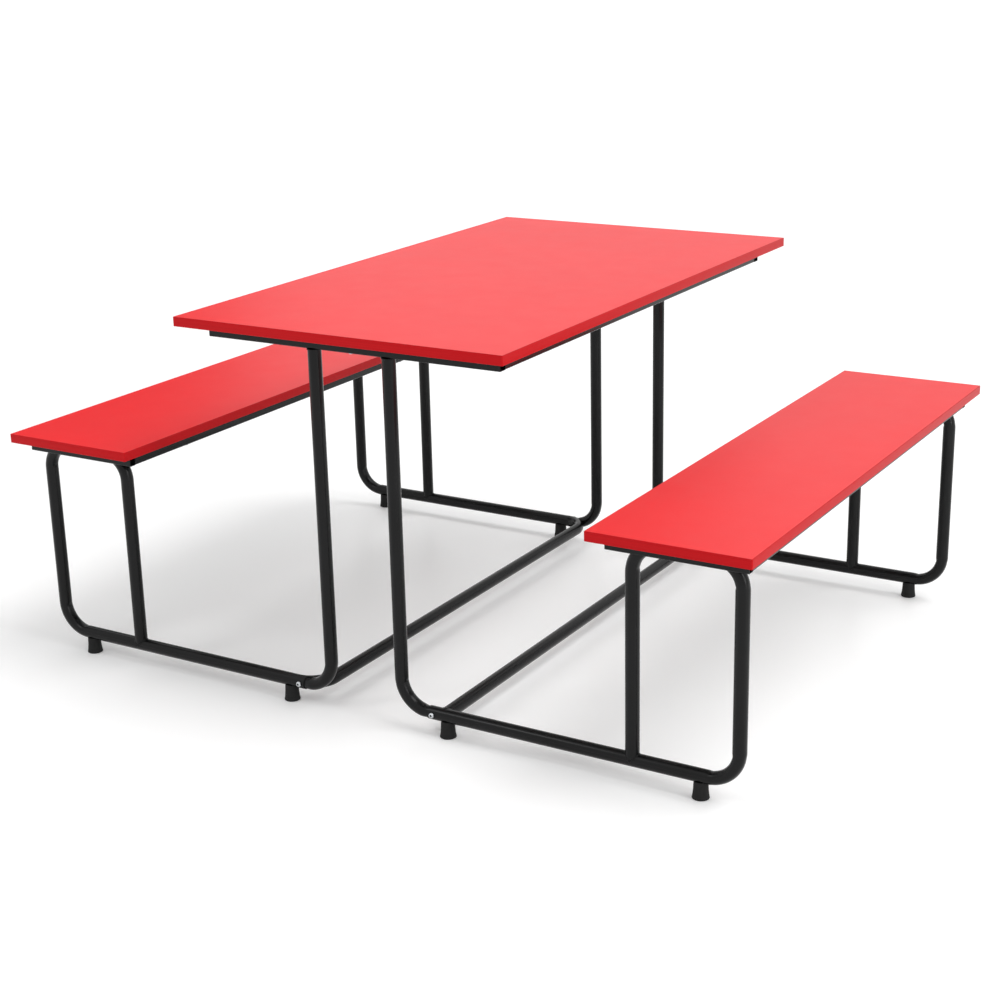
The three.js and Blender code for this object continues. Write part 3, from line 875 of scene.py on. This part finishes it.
def stand(lamp, place, back):
    """Puts a lamp at a place, with its back turned to a direction."""
    holder = bpy.data.objects.new(lamp.name, lamp)
    holder.location = place
    holder.rotation_euler = back.to_track_quat("Z", "Y").to_euler()
    bpy.context.scene.collection.objects.link(holder)


def area_lamp(name, size, watts, place, target):
    """A rectangular lamp that faces a target."""
    lamp = bpy.data.lights.new(name, "AREA")
    lamp.shape = "RECTANGLE"
    lamp.size, lamp.size_y = size
    lamp.energy = watts
    stand(lamp, place, place - target)


def studio_light():
    """A white sky, a broad sun for the shadows, a strip for the tubes and a small box for the rails."""
    world = bpy.data.worlds.new("soft studio sky")
    bpy.context.scene.world = world
    world.use_nodes = True
    tree = world.node_tree
    tree.nodes.clear()
    seen = {"Value": seen_or_mirrored(tree)}
    strength = add_node(tree, "ShaderNodeMapRange", {"To Min": SKY_LIGHTING, "To Max": SKY_SEEN}, seen)
    white = {"Color": (1, 1, 1, 1)}
    sky = add_node(tree, "ShaderNodeBackground", white, {"Strength": strength.outputs["Result"]})
    add_node(tree, "ShaderNodeOutputWorld", links={"Surface": sky.outputs["Background"]})
    overhead = bpy.data.lights.new("overhead soft box", "SUN")
    overhead.energy = SUN_POWER
    overhead.angle = SUN_SPREAD
    stand(overhead, SUN_PLACE, SUN_FROM)
    area_lamp("strip box on the right", STRIP_SIZE, STRIP_WATTS, STRIP_PLACE, STRIP_TARGET)
    area_lamp("small soft box on the left", BOX_SIZE, BOX_WATTS, BOX_PLACE, BOX_TARGET)


# Camera, at the place and angle that the photograph was taken from
PICTURE = 1000  # pixels
FOCAL_PIXELS = 1828.3
SENSOR_MM = 36
CAMERA_PLACE = Vector((1850.4, -3101.2, 1456.5)) * MM
CAMERA_YAW = math.radians(31.14)
CAMERA_PITCH = math.radians(-18.12)
CAMERA_ROLL = math.radians(-1.32)


def studio_camera():
    """Turned about Z, tipped down, then rolled about its own axis."""
    lens = bpy.data.cameras.new("camera")
    lens.sensor_width = SENSOR_MM
    lens.lens = FOCAL_PIXELS / PICTURE * SENSOR_MM
    camera = bpy.data.objects.new("camera", lens)
    turn = Matrix.Rotation(CAMERA_YAW, 4, "Z") @ Matrix.Rotation(math.pi / 2 + CAMERA_PITCH, 4, "X")
    camera.matrix_world = Matrix.Translation(CAMERA_PLACE) @ turn @ Matrix.Rotation(CAMERA_ROLL, 4, "Z")
    bpy.context.scene.collection.objects.link(camera)
    bpy.context.scene.camera = camera


studio_floor()
black_flag()
studio_light()
studio_camera()
bpy.context.scene.view_settings.view_transform = "Standard"
